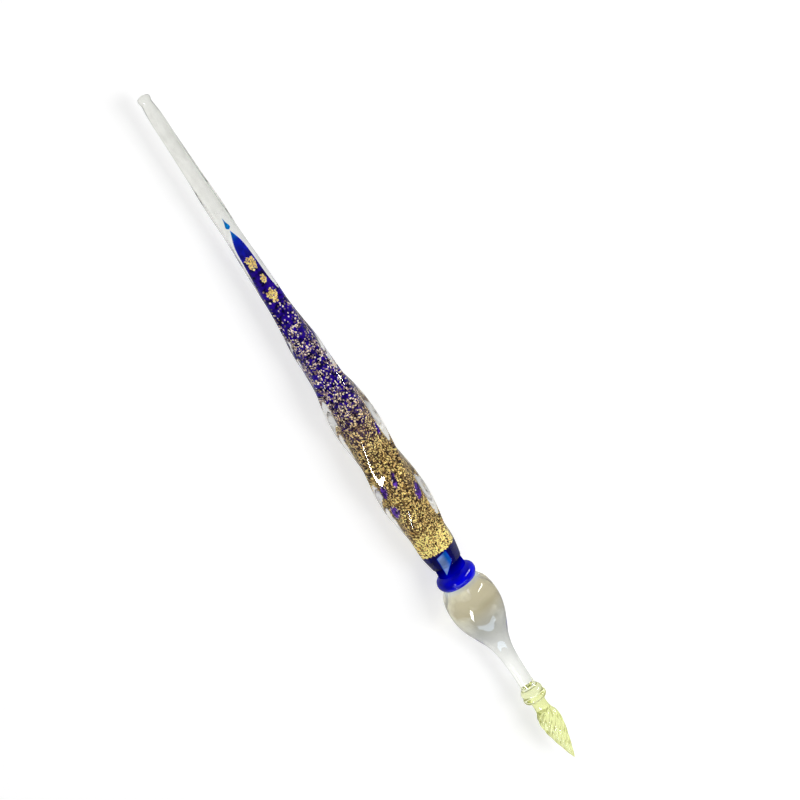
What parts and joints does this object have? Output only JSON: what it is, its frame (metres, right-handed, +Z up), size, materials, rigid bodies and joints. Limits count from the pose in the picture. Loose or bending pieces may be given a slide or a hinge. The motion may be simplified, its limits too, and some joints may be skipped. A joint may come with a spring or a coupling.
{
  "type": "glass dip pen",
  "caption": "Lampworked glass dip pen: twisted clear casing over a cobalt and gold-leaf core, blue collar, clear bulb and neck, fluted lemon glass nib.",
  "frame": {"origin": "centre of the pen's bounding box, at its base, on the surface that the pen lies on", "axes": "+X along the pen from the tail knob to the nib's point, +Z up from the surface the pen lies on"},
  "size_m": [0.19, 0.0128, 0.0128],
  "materials": {
    "clear_glass": "fire-polished, clear",
    "smoky_glass": "fire-polished, clear with a faint tan tint",
    "cobalt_glass": "fire-polished, deep transparent cobalt",
    "azure_glass": "fire-polished, thin cobalt that reads as light blue",
    "lemon_glass": "fire-polished, pale lemon",
    "gold_leaf": "crackled metal leaf"
  },
  "bodies": {
    "root": {"end_knob": "clear_glass", "tail_rod": "clear_glass", "barrel_casing": "clear_glass", "cobalt_core": "cobalt_glass", "azure_sliver": "azure_glass", "leaf_patch_1": "gold_leaf", "leaf_patch_2": "gold_leaf", "leaf_patch_3": "gold_leaf", "gold_leaf": "gold_leaf", "blue_cup": "cobalt_glass", "blue_collar": "cobalt_glass", "bulb_neck": "smoky_glass", "neck_flare": "clear_glass", "nib_bead": "lemon_glass", "nib": "lemon_glass"}
  },
  "joints": []
}
